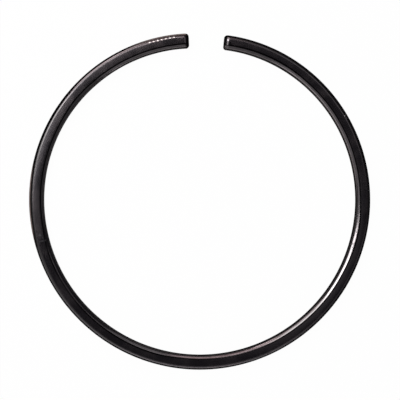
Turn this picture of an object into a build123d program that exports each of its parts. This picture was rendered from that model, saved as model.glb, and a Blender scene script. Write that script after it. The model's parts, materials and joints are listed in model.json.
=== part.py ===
from build123d import *
import math
import os

# Plain compression ring for a piston: one piece of black-finished cast iron, in its free state.
# It lies flat on one side face: ring axis along +Z, joint gap towards +Y, rest face at z = 0.

# Driving dimensions, in millimetres and newtons
cylinder_bore = 100.0          # the bore that the ring closes into
radial_wall = 4.4              # bore wall to running face
axial_height = 3.0             # side face to side face
contact_pressure = 0.14        # even pressure on the cylinder that the free shape is made for
elastic_modulus = 97000.0      # of the ring's grey cast iron
running_edge_radius = 1.25     # rounding where the running face meets the side faces
bore_edge_radius = 1.2         # rounding where the bore wall meets the side faces
end_edge_radius = 1.0          # rounding round the two butt ends
arcs_per_half = 5              # tangent arcs that make the outline from the back to one end

# A ring cut straight through presses evenly all round when its free curvature is
# (1 - opening * (1 + cos(angle))) / neutral_radius, with the angle counted on the closed ring
# from its back, opposite the joint. Opening says how far it springs open.
neutral_radius = (cylinder_bore - radial_wall) / 2
opening = 6 * contact_pressure * cylinder_bore * neutral_radius**2 / (elastic_modulus * radial_wall**3)


def free_radius(angle):
    return neutral_radius / (1 - opening * (1 + math.cos(angle)))


def wall_line(offset):
    # One side of the wall, offset outwards from the neutral line: arcs that follow on from each
    # other from the back to the joint, each with the free radius at its middle, and their mirror.
    arc_angle = math.pi / arcs_per_half
    with BuildLine() as line:
        start, direction = (0, -offset), (1, 0)
        for index in range(arcs_per_half):
            radius = free_radius((index + 0.5) * arc_angle)
            turn = math.degrees(arc_angle * neutral_radius / radius)
            arc = JernArc(start, direction, radius + offset, turn)
            start, direction = arc @ 1, arc % 1
        mirror(about=Plane.YZ)
    return line.line


def ring_plan():
    # The wall seen from above: running face, bore, and the two straight cuts of the joint.
    running_face = wall_line(radial_wall / 2)
    bore = wall_line(-radial_wall / 2)
    cut_corners = [
        line.vertices().sort_by(Axis.Y)[-2:].sort_by(Axis.X) for line in (running_face, bore)
    ]
    cuts = [Line(outer, inner) for outer, inner in zip(*cut_corners)]
    return make_face([*running_face.edges(), *bore.edges(), *cuts])


def long_edges(ring, convex):
    # The circular edges of the running face, which is convex, or of the bore.
    walls = ring.faces().filter_by(GeomType.CYLINDER)
    side = walls.filter_by(Face.is_circular_convex if convex else Face.is_circular_concave)
    return side.edges().filter_by(GeomType.CIRCLE)


def end_edges(ring):
    # The closed loop of edges round each of the two butt ends.
    ends = ring.faces().filter_by(GeomType.PLANE).filter_by(lambda face: abs(face.normal_at().Z) < 0.5)
    return ends.edges()


def piston_ring():
    ring = extrude(ring_plan(), axial_height)
    ring = fillet(long_edges(ring, convex=False), bore_edge_radius)
    ring = fillet(long_edges(ring, convex=True), running_edge_radius)
    ring = fillet(end_edges(ring), end_edge_radius)
    middle = ring.bounding_box().center()
    return Pos(-middle.X, -middle.Y) * ring


os.makedirs("parts", exist_ok=True)
export_step(piston_ring(), "parts/piston_ring.step")
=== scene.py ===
import bpy
import json
import math
from mathutils import Matrix, Vector

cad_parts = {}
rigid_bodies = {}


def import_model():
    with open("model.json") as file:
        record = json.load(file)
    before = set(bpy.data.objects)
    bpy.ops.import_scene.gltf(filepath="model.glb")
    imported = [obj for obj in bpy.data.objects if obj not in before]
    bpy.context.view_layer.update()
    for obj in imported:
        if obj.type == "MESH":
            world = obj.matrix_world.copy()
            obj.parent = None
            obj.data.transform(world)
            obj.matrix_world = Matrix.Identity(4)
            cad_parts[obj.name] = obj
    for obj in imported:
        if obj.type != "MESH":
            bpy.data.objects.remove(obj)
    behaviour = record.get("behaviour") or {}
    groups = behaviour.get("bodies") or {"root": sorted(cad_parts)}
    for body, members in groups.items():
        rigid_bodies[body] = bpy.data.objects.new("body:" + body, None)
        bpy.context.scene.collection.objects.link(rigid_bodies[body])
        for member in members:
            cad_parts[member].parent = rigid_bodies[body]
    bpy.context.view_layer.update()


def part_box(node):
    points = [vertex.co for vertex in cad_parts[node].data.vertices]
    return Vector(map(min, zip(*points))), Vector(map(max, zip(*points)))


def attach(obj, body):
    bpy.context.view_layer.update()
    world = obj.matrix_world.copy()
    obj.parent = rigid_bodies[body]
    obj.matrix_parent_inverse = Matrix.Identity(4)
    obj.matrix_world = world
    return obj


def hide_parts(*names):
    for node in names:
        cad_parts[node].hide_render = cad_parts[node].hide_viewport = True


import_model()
ringLow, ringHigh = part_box("piston_ring")
ringMiddle = (ringLow + ringHigh) / 2
mm = 0.001
print("frame loaded, ring of", [round(side / mm, 2) for side in ringHigh - ringLow], "mm")


class Wire:
    # A socket that can be added, multiplied and so on, each time through a Math node.
    def __init__(self, maker, socket):
        self.maker = maker
        self.socket = socket

    def __add__(self, other):
        return self.maker.math("ADD", self, other)

    def __sub__(self, other):
        return self.maker.math("SUBTRACT", self, other)

    def __rsub__(self, other):
        return self.maker.math("SUBTRACT", other, self)

    def __mul__(self, other):
        return self.maker.math("MULTIPLY", self, other)

    def __truediv__(self, other):
        return self.maker.math("DIVIDE", self, other)

    def __rtruediv__(self, other):
        return self.maker.math("DIVIDE", other, self)

    def __pow__(self, other):
        return self.maker.math("POWER", self, other)

    __radd__ = __add__
    __rmul__ = __mul__


class NodeMaker:
    # Adds nodes to one tree. Values may be numbers, colours, vectors or wires.
    def __init__(self, tree):
        self.tree = tree

    def plug(self, socket, value):
        if isinstance(value, Wire):
            self.tree.links.new(value.socket, socket)
        else:
            socket.default_value = value

    def node(self, kind, settings=None, inputs=None):
        made = self.tree.nodes.new(kind)
        for setting, value in (settings or {}).items():
            setattr(made, setting, value)
        for name, value in (inputs or {}).items():
            self.plug(made.inputs[name], value)
        return made

    def make(self, kind, settings=None, inputs=None, output=0):
        return Wire(self, self.node(kind, settings, inputs).outputs[output])

    def math(self, operation, *values):
        return self.make("ShaderNodeMath", {"operation": operation}, dict(enumerate(values)))

    def vector(self, operation, *values):
        return self.make("ShaderNodeVectorMath", {"operation": operation}, dict(enumerate(values)))

    def scaled(self, vector, factor):
        inputs = {0: vector, "Scale": factor}
        return self.make("ShaderNodeVectorMath", {"operation": "SCALE"}, inputs)

    def step(self, value, low, high):
        # 0 below low, 1 above high, a soft step between; high below low turns it round
        return self.make(
            "ShaderNodeMapRange",
            {"interpolation_type": "SMOOTHSTEP"},
            {"Value": value, "From Min": low, "From Max": high},
        )

    def blend(self, factor, first, second):
        mixed = self.node("ShaderNodeMix", {"data_type": "RGBA"})
        # the colour sockets share their names with the others, so they go by number
        self.plug(mixed.inputs[0], factor)
        self.plug(mixed.inputs[6], first)
        self.plug(mixed.inputs[7], second)
        return Wire(self, mixed.outputs[2])

    def noise(self, vector, scale, detail=2.0, roughness=0.5):
        return self.make(
            "ShaderNodeTexNoise",
            None,
            {"Vector": vector, "Scale": scale, "Detail": detail, "Roughness": roughness},
        )


def addObject(name, data):
    made = bpy.data.objects.new(name, data)
    bpy.context.scene.collection.objects.link(made)
    return made


def newMaterial(name):
    material = bpy.data.materials.new(name)
    material.use_nodes = True
    return material, NodeMaker(material.node_tree), material.node_tree.nodes["Principled BSDF"]


def heading(azimuth, elevation):
    a, e = math.radians(azimuth), math.radians(elevation)
    return Vector((math.cos(a) * math.cos(e), math.sin(a) * math.cos(e), math.sin(e)))


# Shape of the ring. Its width and height are those of the solid that it stands in for.
ringShape = {
    "wall": 4.4 * mm,            # bore to running face
    "opening": 0.02322,          # how far it springs open: share of its curvature lost at the sides
    "runningEdge": 1.4 * mm,     # rounding of the running face's edges
    "boreEdge": 0.45 * mm,       # rounding of the bore's lower edge
    "bevelWidth": 1.10 * mm,     # bevel on the bore's upper edge
    "bevelDepth": 0.56 * mm,
    "bevelTop": 0.7 * mm,        # rounding between the side face and the bevel
    "bevelFoot": 0.95 * mm,      # rounding between the bevel and the bore
    "endEdge": 0.9 * mm,         # rounding round the two butt ends
    "endTop": 1.7 * mm,          # longer rounding of their upper edges
    "crown": 0.08 * mm,          # how much lower the side faces are at their edges
    "cornerSteps": 12,           # facets in each rounded corner, before they are evened out
    "sectionStep": 0.15 * mm,    # facet length round the section
    "stations": 560,             # steps along the ring
    "endStations": 20,           # extra steps along each rounded end
    "weld": 0.001 * mm,          # points closer than this become one

    # Row of shallow pips on the upper side face, near the left butt end
    "pips": {
        "count": 7,
        "pitch": 1.22 * mm,
        "fromEnd": 4.6 * mm,         # first pip to the left butt end
        "fromFace": 0.9 * mm,        # row to the running face
        "radius": 0.42 * mm,
        "depth": 0.09 * mm,
        "ballSegments": 64,          # facets of the ball that cuts them
        "ballRings": 48,
    },
}


def neutralLine():
    # Points of the line half way through the wall, from the left end round the back to the right
    # end. A ring that presses evenly on its cylinder has this curvature when it is free.
    opening = ringShape["opening"]

    def turned(angle):
        return angle - opening * (angle + math.sin(angle))

    def walk(angles):
        spot = Vector((0, 0, 0))
        spots = [spot]
        for start, stop in zip(angles, angles[1:]):
            halfTurn = (turned(stop) - turned(start)) / 2
            middle = (turned(stop) + turned(start)) / 2
            chord = (stop - start) * math.sin(halfTurn) / halfTurn
            spot = spot + Vector((math.cos(middle), math.sin(middle), 0)) * chord
            spots.append(spot)
        return spots

    halfCount = ringShape["stations"] // 2
    evenAngles = [math.pi * step / halfCount for step in range(halfCount + 1)]
    halfWidth = max(spot.x for spot in walk(evenAngles))
    closedRadius = (ringHigh.x - ringLow.x - ringShape["wall"]) / 2 / halfWidth
    # the last stations crowd together where the ends are rounded
    endAngle = ringShape["endTop"] / closedRadius
    count = ringShape["endStations"]
    crowding = [1 - math.sin(math.pi / 2 * step / count) for step in range(count + 1)]
    roundAngles = [math.pi - endAngle * share for share in crowding]
    lastEven = roundAngles[0] - endAngle / 4  # no even station right before the first of them
    angles = [angle for angle in evenAngles if angle < lastEven] + roundAngles
    half = [spot * closedRadius for spot in walk(angles)]
    return [Vector((-spot.x, spot.y, 0)) for spot in reversed(half)] + half[1:]


def pathMesh(name):
    # The neutral line in its place, run from the right end to the left one.
    shift = Vector((ringMiddle.x, ringLow.y + ringShape["wall"] / 2, ringMiddle.z))
    spots = [spot + shift for spot in reversed(neutralLine())]
    mesh = bpy.data.meshes.new(name)
    mesh.from_pydata(spots, [(i, i + 1) for i in range(len(spots) - 1)], [])
    return mesh


def newGeometryTree(name, values):
    # A tree that takes a path and has one named input for each value.
    kinds = {float: "Float", int: "Int", bpy.types.Material: "Material"}
    tree = bpy.data.node_groups.new(name, "GeometryNodeTree")
    tree.interface.new_socket("Path", in_out="INPUT", socket_type="NodeSocketGeometry")
    for label, value in values.items():
        kind = "NodeSocket" + kinds[type(value)]
        tree.interface.new_socket(label, in_out="INPUT", socket_type=kind)
    tree.interface.new_socket("Mesh", in_out="OUTPUT", socket_type="NodeSocketGeometry")
    maker = NodeMaker(tree)
    entry = maker.node("NodeGroupInput")
    wires = {socket.name: Wire(maker, socket) for socket in entry.outputs if socket.name}
    return maker, wires


def growMesh(name, path, maker, values):
    # Runs the tree on the path and keeps the result as a plain mesh object.
    carrier = addObject(name + "Path", path)
    modifier = carrier.modifiers.new("grow", "NODES")
    modifier.node_group = maker.tree
    for item in maker.tree.interface.items_tree:
        if item.in_out == "INPUT" and item.name in values:
            modifier[item.identifier] = values[item.name]
    evaluated = carrier.evaluated_get(bpy.context.evaluated_depsgraph_get())
    mesh = bpy.data.meshes.new_from_object(evaluated)
    mesh.name = name
    bpy.data.objects.remove(carrier)
    return addObject(name, mesh)


def store(maker, geometry, label, value, kind="FLOAT", domain="POINT"):
    return maker.make(
        "GeometryNodeStoreNamedAttribute",
        {"data_type": kind, "domain": domain},
        {"Geometry": geometry, "Name": label, "Value": value},
    )


def named(maker, label, kind="FLOAT"):
    return maker.make("GeometryNodeInputNamedAttribute", {"data_type": kind}, {"Name": label})


def sectionOutline(maker, entry):
    # A rectangle that is rounded on the running side and at the foot of the bore, and bevelled at
    # the top of the bore. Its side faces are a little lower at their edges. X points outwards.
    outline = maker.make(
        "GeometryNodeCurvePrimitiveQuadrilateral",
        None,
        {"Width": entry["Wall"], "Height": entry["Height"]},
    )
    # one more point on each side; the one on top becomes the bevel's upper edge
    outline = maker.make("GeometryNodeSubdivideCurve", None, {"Curve": outline, "Cuts": 1})
    halfWall, halfHeight = entry["Wall"] / 2, entry["Height"] / 2
    place = maker.node("ShaderNodeSeparateXYZ", None, {0: maker.make("GeometryNodeInputPosition")})
    sideways, upwards = Wire(maker, place.outputs["X"]), Wire(maker, place.outputs["Y"])
    outermost = 0.9              # from this share of its half width on, a point is on that side
    onTop = maker.math("GREATER_THAN", upwards, halfHeight * outermost)
    onBore = maker.math("LESS_THAN", sideways, halfWall * -outermost)
    onRunning = maker.math("GREATER_THAN", sideways, halfWall * outermost)
    isFoot, isTop = onTop * onBore, onTop * (1 - onBore) * (1 - onRunning)
    edge = onRunning * entry["Running Edge"] + onBore * (1 - onTop) * entry["Bore Edge"]
    edge = edge + isFoot * entry["Bevel Foot"] + isTop * entry["Bevel Top"]
    outline = store(maker, outline, "rounding", edge)
    moved = maker.make("ShaderNodeCombineXYZ", None, {
        "X": sideways + isTop * (entry["Bevel Width"] - halfWall - sideways),
        "Y": upwards - isFoot * entry["Bevel Depth"],
    })
    outline = maker.make("GeometryNodeSetPosition", None, {"Geometry": outline, "Position": moved})
    outline = maker.make(
        "GeometryNodeFilletCurve",
        {"mode": "POLY"},
        {"Curve": outline, "Count": ringShape["cornerSteps"], "Radius": named(maker, "rounding")},
    )
    outline = maker.make(
        "GeometryNodeResampleCurve",
        {"mode": "LENGTH"},
        {"Curve": outline, "Length": entry["Section Step"]},
    )
    outwards = sideways / halfWall
    lowered = upwards * (1 - outwards * outwards * entry["Crown"] / halfHeight)
    crowned = maker.make("ShaderNodeCombineXYZ", None, {"X": sideways, "Y": lowered})
    outline = maker.make(
        "GeometryNodeSetPosition",
        None,
        {"Geometry": outline, "Position": crowned},
    )
    outline = store(maker, outline, "across", sideways)
    return store(maker, outline, "upwards", upwards)


def rolledEnds(maker, entry, ring):
    # The section shrinks towards each cut, as rolling a ball round its edges leaves it.
    def inset(radius):
        depth = 1 - maker.math("MINIMUM", named(maker, "fromEnd") / radius, 1)
        return radius * (1 - maker.math("SQRT", 1 - depth * depth))

    outwards = maker.vector("CROSS_PRODUCT", (0, 0, 1), named(maker, "lay", "FLOAT_VECTOR"))
    narrowing = named(maker, "across") * inset(entry["End Edge"]) / (entry["Wall"] / -2)
    height = named(maker, "upwards") / entry["Height"] + 0.5  # 0 at the foot, 1 at the top
    drop = (1 - height) * inset(entry["End Edge"]) - height * inset(entry["End Top"])
    downwards = maker.make("ShaderNodeCombineXYZ", None, {"Z": drop})
    offset = maker.vector("ADD", maker.scaled(outwards, narrowing), downwards)
    return maker.make("GeometryNodeSetPosition", None, {"Geometry": ring, "Offset": offset})


def pipCutter(maker, entry, curve):
    # Balls in a row beside the running face, of which only shallow slices dip into the ring.
    points = maker.make("GeometryNodeMeshLine", {"mode": "OFFSET"}, {"Count": entry["Pip Count"]})
    number = maker.make("GeometryNodeInputIndex")
    whole = maker.make("GeometryNodeCurveLength", None, {"Curve": curve})
    reach = whole - entry["Pip From End"] - number * entry["Pip Pitch"]
    sample = maker.node(
        "GeometryNodeSampleCurve",
        {"mode": "LENGTH"},
        {"Curves": curve, "Length": reach},
    )
    tangent = Wire(maker, sample.outputs["Tangent"])
    outwards = maker.vector("CROSS_PRODUCT", (0, 0, 1), tangent)
    sideways = entry["Wall"] / 2 - entry["Pip From Face"]
    ballRadius = (entry["Pip Radius"] ** 2 + entry["Pip Depth"] ** 2) / (2 * entry["Pip Depth"])
    share = sideways / (entry["Wall"] / 2)
    surface = entry["Height"] / 2 - share * share * entry["Crown"]
    lift = surface + ballRadius - entry["Pip Depth"]
    raised = maker.make("ShaderNodeCombineXYZ", None, {"Z": lift})
    middle = Wire(maker, sample.outputs["Position"])
    spot = maker.vector("ADD", middle, maker.scaled(outwards, sideways))
    spot = maker.vector("ADD", spot, raised)
    points = maker.make("GeometryNodeSetPosition", None, {"Geometry": points, "Position": spot})
    ball = maker.make("GeometryNodeMeshUVSphere", None, {
        "Segments": ringShape["pips"]["ballSegments"],
        "Rings": ringShape["pips"]["ballRings"],
        "Radius": ballRadius,
    })
    # laid on its side, so that its poles stay out of the ring
    onSide = (math.pi / 2, 0, 0)
    ball = maker.make("GeometryNodeTransform", None, {"Geometry": ball, "Rotation": onSide})
    balls = maker.make("GeometryNodeInstanceOnPoints", None, {"Points": points, "Instance": ball})
    balls = maker.make("GeometryNodeRealizeInstances", None, {"Geometry": balls})
    return store(maker, balls, "inPip", 1.0, domain="FACE")


def ringTree(values):
    maker, entry = newGeometryTree("ringBody", values)
    make = maker.make
    curve = make("GeometryNodeMeshToCurve", None, {"Mesh": entry["Path"]})
    curve = make("GeometryNodeSetCurveNormal", {"mode": "Z_UP"}, {"Curve": curve})
    # half a turn, so that the section's X points outwards and its Y points up
    curve = make("GeometryNodeSetCurveTilt", None, {"Curve": curve, "Tilt": math.pi})
    along = make("GeometryNodeSplineParameter", output="Length")
    whole = make("GeometryNodeSplineLength", output="Length")
    curve = store(maker, curve, "along", along)
    curve = store(maker, curve, "fromEnd", maker.math("MINIMUM", along, whole - along))
    curve = store(maker, curve, "lay", make("GeometryNodeInputTangent"), "FLOAT_VECTOR")
    section = sectionOutline(maker, entry)
    ring = make(
        "GeometryNodeCurveToMesh",
        None,
        {"Curve": curve, "Profile Curve": section, "Fill Caps": True},
    )
    ring = rolledEnds(maker, entry, ring)
    weld = ringShape["weld"]
    ring = make("GeometryNodeMergeByDistance", None, {"Geometry": ring, "Distance": weld})
    ring = make("GeometryNodeSetMaterial", None, {"Geometry": ring, "Material": entry["Finish"]})
    cutter = make(
        "GeometryNodeSetMaterial",
        None,
        {"Geometry": pipCutter(maker, entry, curve), "Material": entry["Pip Finish"]},
    )
    cut = maker.node(
        "GeometryNodeMeshBoolean",
        {"operation": "DIFFERENCE", "solver": "EXACT"},
        {"Mesh 1": ring, "Mesh 2": cutter},
    )
    ring = Wire(maker, cut.outputs["Mesh"])
    ring = make("GeometryNodeSetShadeSmooth", None, {"Geometry": ring})
    # the pips keep sharp rims
    rims = Wire(maker, cut.outputs["Intersecting Edges"])
    ring = make(
        "GeometryNodeSetShadeSmooth",
        {"domain": "EDGE"},
        {"Geometry": ring, "Selection": rims, "Shade Smooth": False},
    )
    inPip = maker.math("GREATER_THAN", named(maker, "inPip"), 0.5)
    plain = make("GeometryNodeRealizeInstances", None, {"Geometry": ring})
    dressed = make(
        "GeometryNodeSetMaterial",
        None,
        {"Geometry": plain, "Selection": inPip, "Material": entry["Pip Finish"]},
    )
    maker.node("NodeGroupOutput", None, {"Mesh": dressed})
    return maker


# Finish of the ring. Its colours say how much of the light the iron mirrors, seen straight on.
blackIron = {
    "colour": (0.156, 0.143, 0.155, 1),
    "paleColour": (0.183, 0.163, 0.173, 1),     # in the patches where the black is thinner
    "runningColour": (0.063, 0.060, 0.062, 1),  # on the rounding of the running face
    "paintedWallShade": (0.010, 0.010, 0.010, 1),     # painted shade low on the running face and over the left butt end
    # painted shade on the bore wall below the bevel
    "paintedBoreWallShade": (0.048, 0.044, 0.045, 1),
    "bevelColour": (0.183, 0.170, 0.177, 1),    # on the bevel, where it has worn thinnest
    "rubbedBevel": (0.104, 0.095, 0.100, 1),    # in the bevel's turning marks
    "paintedCreaseShade": (0.016, 0.015, 0.016, 1),   # painted shade: the dark line beside the bevel, where its rounding mirrors dark surroundings
    "edgeColour": (0.05, 0.05, 0.05, 1),        # share of the glare that is left, seen along it
    "roughness": 0.16,
    "dullRoughness": 0.25,       # in the patches and scratches
    "edgeRoughness": 0.28,       # on the rounding of the running face
    "smoothedEdge": 0.17,        # and where that has rubbed smooth
    "bevelRoughness": 0.14,
    "film": 0.04,                # thin oil film over the black oxide
    "filmRoughness": 0.07,
    "filmLoss": 0.5,             # share of the film that the patches have lost
    "patchSize": 5.0 * mm,
    "patchLimits": (0.35, 0.68),  # cloudiness at which a patch starts and is full
    "patchPaleness": 0.6,        # how far a patch goes to the pale colour
    "patchDullness": 0.7,        # and to the dull roughness
    "scratchLength": 7.0 * mm,   # lay of the grinding, along the ring
    "scratchWidth": 0.11 * mm,
    "scratchDepth": 0.002 * mm,
    "scratchPaleness": 0.8,      # likewise for the scratches
    "scratchDullness": 0.4,
    "turning": (2.6, 0.6, 0.6),  # turning marks against scratches: shorter, but broader
    "turningLimits": (0.50, 0.66),

    # Where one shade gives way to the next: from and to, in mm
    "zones": {
        "bevel": (1.10, 0.90),       # from the bore outwards
        "topBevel": (0.60, 0.80),
        "lowBevel": (0.68, 0.26),
        "runningRim": (2.90, 3.45),
        "crease": (0.26, 0.12),      # from the middle of the painted dark line beside the bevel
        "wall": (0.08, -0.08),       # above and below the top of the painted shade on the running face or in the bore
        "brown": (0.06, -0.06),      # above and below the top of the painted brown reflection on the running face
    },

    # Reach of a shade, in mm
    "creasePlace": 1.27,         # from the bore to the painted dark line beside the bevel
    "runningBlack": 2.70,        # from the floor up to the top of the running face's painted shade
    "boreBlack": 2.44,           # and of the bore's
    "brown": 2.0,                # from the floor up to the top of the running face's painted brown reflection
    "brownRise": 0.56,           # and how much higher it is where the brown is fullest

    # Painted shade, painted highlights and painted reflections laid on stretches of the ring, and
    # where the running edge is smoother
    "paintedLightAndWear": {
        # Rows of start, stop and softness, in mm along the ring from its right end, and amount.
        # A row that starts before the one end or stops past the other takes in that end.
        # painted light: stretches where the running edge's upper rim is no darker than the side
        # face
        "paleRim": [(79, 128, 5, 0.9), (134, 172, 6, 0.5), (257, 281, 6, 0.35)],
        "smoothRim": [(246, 330, 6, 1.0)],
        "rimInset": [(236, 263, 5, 0.25)],  # amounts in mm by which the dark upper rim is painted broader, as painted shade
        "blackRise": [               # amounts in mm by which the running face's painted shade reaches higher up
            (79, 128, 5, 0.09),
            (134, 172, 6, 0.06),
            (214, 238, 6, 0.20),
            (244, 276, 5, 0.08),
        ],
        "creaseShift": [             # amounts in mm by which the painted dark line lies further out
            (25, 74, 5, -0.30),
            (79, 88, 4, 0.15),
            (91, 112, 5, -0.18),
            (112, 128, 5, -0.20),
            (128, 160, 5, -0.30),
            (214, 256, 7, -0.37),
            (264, 305, 5, -0.22),
        ],
        "brownWall": [(214, 238, 6, 1.0)],  # painted brown reflection, low on the running face
        "brownEnd": [(285, 330, 5, 1.0)],   # painted brown reflection over the running face's full height
        "blackEnd": [(299.3, 330, 0.25, 1.0)],  # painted shade over the left butt end
        # painted shade on the bevel's lower part, near both ends and in stretches
        "lowBevel": [
            (-50, 18, 4, 0.85),
            (25, 68, 6, 0.4),
            (79, 128, 5, 1.0),
            (278, 350, 4, 0.85),
        ],
        # painted highlight on the bevel's upper part
        "topBevel": [(89, 128, 4, 1.0)],
        # painted shade in the bore
        "darkBore": [(176, 222, 6, 1.0)],
        # painted reflection in the bore
        "paleBore": [(25, 68, 6, 1.0)],
        # painted brown reflection on the running face
        "paintedBrownReflection": (0.26, 0.21, 0.20, 1),
        # painted shade on the bevel's lower part
        "paintedLowBevelShade": (0.045, 0.042, 0.043, 1),
        # painted highlight on the bevel's upper part
        "paintedTopBevelHighlight": (0.26, 0.248, 0.252, 1),
        # painted shade in the bore
        "paintedDeepBoreShade": (0.015, 0.014, 0.015, 1),
        # painted reflection in the bore
        "paintedBoreReflection": (0.11, 0.10, 0.10, 1),
    },

    # Single small spots
    "marks": {
        "spots": [
            # along from the right end, across from the neutral line, length and width, all in mm,
            # and colour
            (44.4, 1.12, 0.50, 0.50, "rubbed"),
            (45.3, 1.30, 0.36, 0.36, "rubbed"),
            (216.3, 0.10, 0.34, 1.10, "scuffed"),
            (214.4, -0.30, 0.34, 2.20, "scuffed"),
            (150.3, -0.95, 0.40, 0.30, "dark"),
            (81.2, -1.45, 0.50, 0.30, "dark"),
            (82.4, -1.75, 0.45, 0.24, "dark"),
            (85.1, -1.60, 0.55, 0.24, "dark"),
            (86.2, -1.40, 0.40, 0.20, "dark"),
            (1.25, -0.45, 2.00, 1.50, "dark"),
        ],
        "edge": (1.2, 0.7),          # from none to all of its colour, in shares of its half size
        "raggedness": 0.9,
        "grain": 0.12 * mm,          # size of the rags
        "rubbed": (0.95, 0.93, 0.90, 1),
        "scuffed": (0.39, 0.38, 0.39, 1),
        "dark": (0.037, 0.034, 0.036, 1),
    },
}

# Finish of the pips
bareIron = {
    "colour": (0.80, 0.78, 0.76, 1),
    "darkColour": (0.60, 0.58, 0.56, 1),
    "roughness": 0.42,
    "stainRoughness": 0.12,      # added in the dark stains
    "stainSize": 0.3 * mm,
    "stainLimits": (0.40, 0.70),
}


def blackFinish():
    material, maker, shader = newMaterial("blackRingFinish")
    iron, paintedLightAndWear, marks = blackIron, blackIron["paintedLightAndWear"], blackIron["marks"]
    place = maker.make("ShaderNodeTexCoord", output="Object")
    upwards = maker.make("ShaderNodeSeparateXYZ", None, {0: place}, "Z")
    along = maker.make("ShaderNodeAttribute", {"attribute_name": "along"}, output="Fac")
    across = maker.make("ShaderNodeAttribute", {"attribute_name": "across"}, output="Fac")
    fromBore = across + ringShape["wall"] / 2

    def zone(value, key):
        start, stop = iron["zones"][key]
        return maker.step(value, start * mm, stop * mm)

    def spread(key):
        # how much of this painted shade, painted light or smoothing there is, place by place along
        # the ring
        total = 0
        for start, stop, soft, amount in paintedLightAndWear[key]:
            rise = maker.step(along, (start - soft) * mm, (start + soft) * mm)
            fall = maker.step(along, (stop + soft) * mm, (stop - soft) * mm)
            total = rise * fall * amount + total
        return total

    # side faces: fine scratches along the ring and cloudy patches
    lay = maker.make("ShaderNodeCombineXYZ", None, {
        "X": along * (1 / iron["scratchLength"]),
        "Y": across * (1 / iron["scratchWidth"]),
        "Z": upwards * (1 / iron["scratchWidth"]),
    })
    scratches = maker.noise(lay, 1.0, detail=3.0, roughness=0.6)
    clouds = maker.noise(place, 1 / iron["patchSize"], detail=3.0)
    patches = maker.step(clouds, *iron["patchLimits"])
    paleness = patches * (iron["patchPaleness"] + scratches * iron["scratchPaleness"])
    colour = maker.blend(paleness, iron["colour"], iron["paleColour"])

    # upper rim of the running face, painted paler in some stretches and with painted shade reaching
    # further in others
    onRim = zone(fromBore + spread("rimInset") * mm, "runningRim")
    colour = maker.blend(onRim * (1 - spread("paleRim")), colour, iron["runningColour"])

    # bevel on the bore's upper edge, and the painted dark line beside it
    onBore = zone(fromBore, "bevel")
    dashes = maker.noise(maker.vector("MULTIPLY", lay, iron["turning"]), 1.0)
    rubbed = maker.step(dashes, *iron["turningLimits"])
    bevel = maker.blend(rubbed, iron["bevelColour"], iron["rubbedBevel"])
    # painted highlight on the bevel's upper part, in one stretch
    topBevel = zone(fromBore, "topBevel") * spread("topBevel")
    bevel = maker.blend(topBevel, bevel, paintedLightAndWear["paintedTopBevelHighlight"])
    # painted shade on the bevel's lower part
    lowBevel = zone(fromBore, "lowBevel") * spread("lowBevel")
    bevel = maker.blend(lowBevel, bevel, paintedLightAndWear["paintedLowBevelShade"])
    colour = maker.blend(onBore, colour, bevel)
    # painted shade: the dark line beside the bevel, moved in and out along the ring
    creasePlace = (spread("creaseShift") + iron["creasePlace"]) * mm
    offCrease = maker.math("ABSOLUTE", fromBore - creasePlace)
    colour = maker.blend(zone(offCrease, "crease"), colour, iron["paintedCreaseShade"])

    # running face and bore, below the side face, mostly in painted shade
    # painted brown reflection on the running face, low in one stretch and full height near the left
    # end
    brownWall = spread("brownWall")
    brownTop = (brownWall * iron["brownRise"] + iron["brown"]) * mm
    brown = zone(upwards - brownTop, "brown") * brownWall + spread("brownEnd")
    running = maker.blend(brown, iron["paintedWallShade"], paintedLightAndWear["paintedBrownReflection"])
    # painted shade on the bore wall, darker in one stretch, with a painted reflection in another
    bore = maker.blend(spread("darkBore"), iron["paintedBoreWallShade"], paintedLightAndWear["paintedDeepBoreShade"])
    bore = maker.blend(spread("paleBore"), bore, paintedLightAndWear["paintedBoreReflection"])
    # painted shade: its top is raised in stretches along the ring
    blackTop = spread("blackRise") + iron["runningBlack"]
    blackTop = blackTop + onBore * (iron["boreBlack"] - blackTop)
    onWall = zone(upwards - blackTop * mm, "wall")
    colour = maker.blend(onWall, colour, maker.blend(onBore, running, bore))
    # painted shade over the left butt end
    colour = maker.blend(spread("blackEnd"), colour, iron["paintedWallShade"])

    # rubbed spots, scuffs and dark marks
    rags = (maker.noise(place, 1 / marks["grain"]) - 0.5) * marks["raggedness"]
    for spotAlong, spotAcross, length, width, target in marks["spots"]:
        offAlong = (along - spotAlong * mm) / (length / 2 * mm)
        offAcross = (across - spotAcross * mm) / (width / 2 * mm)
        reach = maker.math("SQRT", offAlong * offAlong + offAcross * offAcross) + rags
        colour = maker.blend(maker.step(reach, *marks["edge"]), colour, marks[target])
    maker.plug(shader.inputs["Base Color"], colour)

    # gloss and film
    dullness = patches * iron["patchDullness"] + scratches * iron["scratchDullness"]
    dullness = maker.math("MINIMUM", dullness, 1)
    rough = dullness * (iron["dullRoughness"] - iron["roughness"]) + iron["roughness"]
    smoothing = spread("smoothRim") * (iron["edgeRoughness"] - iron["smoothedEdge"])
    rough = rough + onRim * (iron["edgeRoughness"] - smoothing - rough)
    rough = rough + onBore * (iron["bevelRoughness"] - rough)
    maker.plug(shader.inputs["Roughness"], rough)
    maker.plug(shader.inputs["Coat Weight"], (1 - patches * iron["filmLoss"]) * iron["film"])
    bump = maker.make("ShaderNodeBump", None, {
        "Height": scratches * iron["scratchDepth"],
        "Strength": 1.0,
        "Distance": 1.0,
    })
    maker.plug(shader.inputs["Normal"], bump)
    shader.inputs["Metallic"].default_value = 1.0
    shader.inputs["Specular Tint"].default_value = iron["edgeColour"]
    shader.inputs["Coat Roughness"].default_value = iron["filmRoughness"]
    return material


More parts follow.
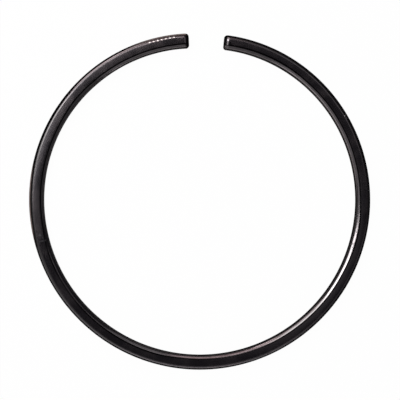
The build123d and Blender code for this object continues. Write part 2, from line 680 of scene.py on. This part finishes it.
def pipFinish():
    material, maker, shader = newMaterial("bareIronPips")
    place = maker.make("ShaderNodeTexCoord", output="Object")
    clouds = maker.noise(place, 1 / bareIron["stainSize"], detail=3.0)
    stain = maker.step(clouds, *bareIron["stainLimits"])
    colour = maker.blend(stain, bareIron["colour"], bareIron["darkColour"])
    rough = stain * bareIron["stainRoughness"] + bareIron["roughness"]
    maker.plug(shader.inputs["Base Color"], colour)
    maker.plug(shader.inputs["Roughness"], rough)
    shader.inputs["Metallic"].default_value = 1.0
    return material


def buildRing():
    pips = ringShape["pips"]
    values = {
        "Wall": ringShape["wall"],
        "Height": ringHigh.z - ringLow.z,
        "Running Edge": ringShape["runningEdge"],
        "Bore Edge": ringShape["boreEdge"],
        "Bevel Width": ringShape["bevelWidth"],
        "Bevel Depth": ringShape["bevelDepth"],
        "Bevel Top": ringShape["bevelTop"],
        "Bevel Foot": ringShape["bevelFoot"],
        "End Edge": ringShape["endEdge"],
        "End Top": ringShape["endTop"],
        "Crown": ringShape["crown"],
        "Section Step": ringShape["sectionStep"],
        "Pip Count": pips["count"],
        "Pip Pitch": pips["pitch"],
        "Pip From End": pips["fromEnd"],
        "Pip From Face": pips["fromFace"],
        "Pip Radius": pips["radius"],
        "Pip Depth": pips["depth"],
        "Finish": blackFinish(),
        "Pip Finish": pipFinish(),
    }
    ring = growMesh("pistonRing", pathMesh("ringPath"), ringTree(values), values)
    faces = ring.data.polygons
    triangles = sum(len(face.vertices) - 2 for face in faces)
    pipSlot = ring.data.materials.find("bareIronPips")
    inPips = sum(face.material_index == pipSlot for face in faces)
    print("ring body:", triangles, "triangles,", inPips, "faces in the pips")
    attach(ring, "root")
    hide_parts("piston_ring")


buildRing()


# Floor, lamps, sky and camera
studio = {
    "floorSize": 40.0,
    "floorColour": (0.9, 0.9, 0.9, 1),
    "floorRoughness": 0.9,
    "floorGlow": 0.98,           # share of plain white in the floor that the camera sees
    "mirroredGlow": 0.3,         # and in the floor that the ring mirrors
    "skyColour": (0.0340, 0.0322, 0.0378, 1),
    "lamps": [
        # name, azimuth and elevation in degrees, distance, width, height, brightness, colour
        ("keyLamp", 153, 50, 0.5, 0.17, 0.24, 7.1, (1.0, 0.99, 0.97)),
        ("sideLamp", 127, 48, 0.5, 0.15, 0.20, 3.2, (1.0, 0.99, 0.97)),
        ("wingLamp", 100, 56, 0.5, 0.12, 0.09, 4.4, (1.0, 0.94, 0.93)),
        ("topLamp", 159, 72, 0.6, 0.085, 0.10, 1.48, (0.97, 0.99, 1.0)),
        ("crossLamp", 118, 71, 0.6, 0.16, 0.09, 0.312, (1.0, 1.0, 1.0)),
        ("lowLamp", 93, 38, 0.6, 0.30, 0.30, 1.15, (1.0, 0.78, 0.77)),
        ("pinkLamp", 121, 26, 0.6, 0.30, 0.16, 6.6, (1.0, 0.86, 0.84)),
        ("backLamp", 204, 41, 0.6, 0.84, 0.38, 0.443, (1.0, 0.97, 0.97)),
        ("edgeLamp", 278, 42, 0.6, 0.60, 0.26, 0.26, (1.0, 0.97, 0.97)),
        ("rimLamp", 250, 17, 0.6, 2.00, 0.23, 2.05, (1.0, 0.97, 0.97)),
        ("nearLamp", 64, 44, 0.6, 0.20, 0.24, 0.361, (1.0, 0.98, 0.98)),
        ("farLamp", 42, 57, 0.6, 0.36, 0.12, 0.47, (1.0, 0.98, 0.98)),
        ("dimLamp", 318, 40, 0.6, 1.00, 0.30, 0.098, (1.0, 1.0, 1.0)),
        ("fillLamp", 338, 75, 0.6, 0.12, 0.08, 0.180, (1.0, 1.0, 1.0)),
    ],
    "cameraTilt": 5.0,           # degrees off straight down, towards the left
    "cameraRoll": 1.41,
    "cameraAim": (-0.77 * mm, 0.58 * mm),
    "cameraDistance": 258.2 * mm,
    "cameraLens": 76.43,
}


def addFloor():
    mesh = bpy.data.meshes.new("studioFloor")
    half = studio["floorSize"] / 2
    corners = [(-half, -half, 0), (half, -half, 0), (half, half, 0), (-half, half, 0)]
    mesh.from_pydata(corners, [], [(0, 1, 2, 3)])
    floor = addObject("studioFloor", mesh)
    material, maker, paper = newMaterial("floorPaper")
    paper.inputs["Base Color"].default_value = studio["floorColour"]
    paper.inputs["Roughness"].default_value = studio["floorRoughness"]
    paper.inputs["Specular IOR Level"].default_value = 0.0
    rays = maker.node("ShaderNodeLightPath")
    seen, glossy, through = (
        Wire(maker, rays.outputs[f"Is {kind} Ray"]) for kind in ("Camera", "Glossy", "Transmission")
    )
    share = seen * studio["floorGlow"] + (glossy + through) * studio["mirroredGlow"]
    surface = maker.make("ShaderNodeMixShader", None, {
        0: maker.math("MINIMUM", share, 1),
        1: Wire(maker, paper.outputs[0]),
        2: maker.make("ShaderNodeEmission", None, {"Strength": 1.0}),
    })
    maker.plug(material.node_tree.nodes["Material Output"].inputs["Surface"], surface)
    mesh.materials.append(material)


def addLamps():
    for name, azimuth, elevation, distance, width, height, brightness, colour in studio["lamps"]:
        data = bpy.data.lights.new(name, "AREA")
        data.shape = "RECTANGLE"
        data.size = width
        data.size_y = height
        data.energy = brightness * math.pi * width * height
        data.color = colour
        lamp = addObject(name, data)
        lamp.location = heading(azimuth, elevation) * distance
        lamp.rotation_euler = heading(azimuth, elevation).to_track_quat("Z", "Y").to_euler()


def addSky():
    world = bpy.data.worlds.new("studioSky")
    world.use_nodes = True
    world.node_tree.nodes["Background"].inputs["Color"].default_value = studio["skyColour"]
    bpy.context.scene.world = world


def addCamera():
    data = bpy.data.cameras.new("camera")
    data.lens = studio["cameraLens"]
    camera = addObject("camera", data)
    tilt = math.radians(studio["cameraTilt"])
    back = Vector((-math.sin(tilt), 0, math.cos(tilt)))
    aim = ringMiddle + Vector((*studio["cameraAim"], 0))
    right = Vector((0, 1, 0)).cross(back).normalized()
    up = back.cross(right)
    facing = Matrix((right, up, back)).transposed().to_4x4()
    roll = Matrix.Rotation(math.radians(studio["cameraRoll"]), 4, "Z")
    camera.matrix_world = Matrix.Translation(aim + back * studio["cameraDistance"]) @ facing @ roll
    bpy.context.scene.camera = camera


addFloor()
addLamps()
addSky()
addCamera()
bpy.context.scene.view_settings.view_transform = "Standard"
print("studio: floor, sky, camera and", len(studio["lamps"]), "lamps")
